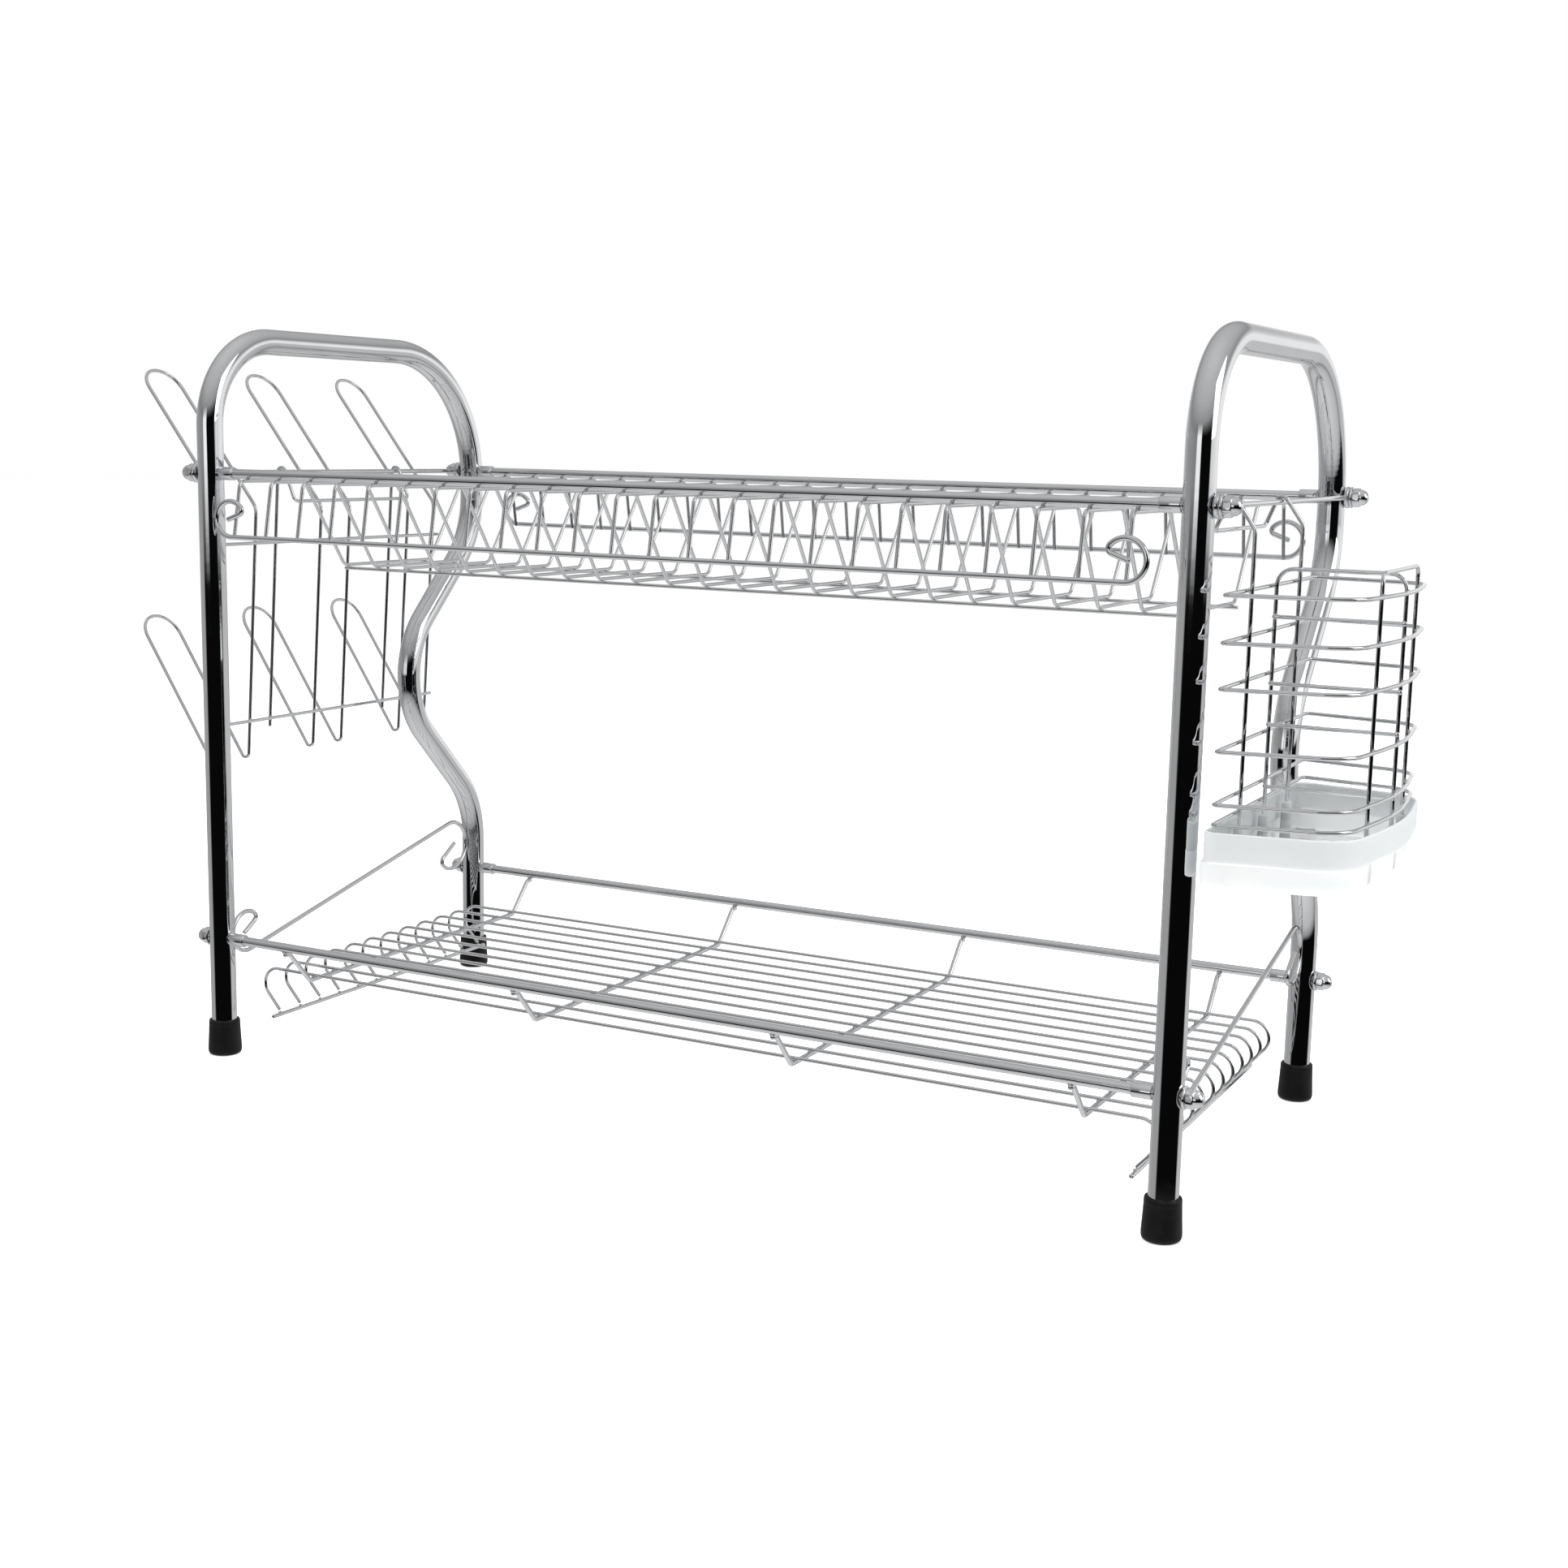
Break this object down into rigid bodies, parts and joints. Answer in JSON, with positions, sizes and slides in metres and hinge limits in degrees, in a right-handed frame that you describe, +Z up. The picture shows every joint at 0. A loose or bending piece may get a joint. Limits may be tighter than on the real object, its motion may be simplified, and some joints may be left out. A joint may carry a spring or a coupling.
{
  "type": "dish drying rack",
  "caption": "Two-tier chromed wire dish drying rack with tube end frames, a plate rack, a lower shelf, a hook-on cup holder and a cutlery basket with a drip cup.",
  "frame": {"origin": "on the ground, midway between the left and right end frames and midway between their front and rear legs", "axes": "+X along the rails towards the frame that carries the cutlery basket, +Y to the rear, +Z up"},
  "size_m": [0.6592, 0.2493, 0.3745],
  "materials": {
    "chrome": "polished bright chrome plate",
    "fastener": "polished chrome plate",
    "rubber": "matt black",
    "cup": "frosted translucent white"
  },
  "bodies": {
    "rack": {"left_frame_tube": "chrome", "right_frame_tube": "chrome", "foot_cap_left_front": "rubber", "foot_cap_left_rear": "rubber", "foot_cap_right_front": "rubber", "foot_cap_right_rear": "rubber", "upper_front_rail": "chrome", "upper_rear_rail": "chrome", "lower_front_rail": "chrome", "lower_rear_rail": "chrome", "rail_collars": "chrome", "washers": "fastener", "acorn_nuts": "fastener", "left_hanger_wire": "chrome", "right_hanger_wire": "chrome", "front_guard_wire": "chrome", "rear_guard_wire": "chrome", "plate_wires_left": "chrome", "plate_wires_right": "chrome", "plate_floor_wire_front": "chrome", "plate_floor_wire_rear": "chrome", "shelf_cross_wire_1": "chrome", "shelf_cross_wire_2": "chrome", "shelf_cross_wire_3": "chrome", "shelf_cross_wire_4": "chrome", "shelf_long_wires": "chrome", "shelf_toe_bar_left": "chrome", "shelf_toe_bar_right": "chrome", "side_scroll_left": "chrome", "side_scroll_right": "chrome"},
    "cup_holder": {"cup_loop_front": "chrome", "cup_loop_middle": "chrome", "cup_loop_rear": "chrome", "cup_bar_upper": "chrome", "cup_bar_lower": "chrome", "cup_hook_wire": "chrome"},
    "cutlery_basket": {"basket_ring_1": "chrome", "basket_ring_2": "chrome", "basket_ring_3": "chrome", "basket_ring_4": "chrome", "basket_ring_5": "chrome", "basket_ring_6": "chrome", "basket_divider_hoop": "chrome", "basket_divider_bars": "chrome", "basket_outer_hoop": "chrome", "basket_hook_wire": "chrome"},
    "drip_cup": {"drip_cup": "cup"}
  },
  "joints": [
    {"name": "cup_holder_lift", "type": "slide", "parent": "rack", "child": "cup_holder", "axis": [0, 0, 1], "range_m": [0, 0.03]},
    {"name": "cutlery_basket_lift", "type": "slide", "parent": "rack", "child": "cutlery_basket", "axis": [0, 0, 1], "range_m": [0, 0.025]},
    {"name": "drip_cup_pull", "type": "slide", "parent": "cutlery_basket", "child": "drip_cup", "axis": [0, 0, -1], "range_m": [0, 0.03]}
  ]
}
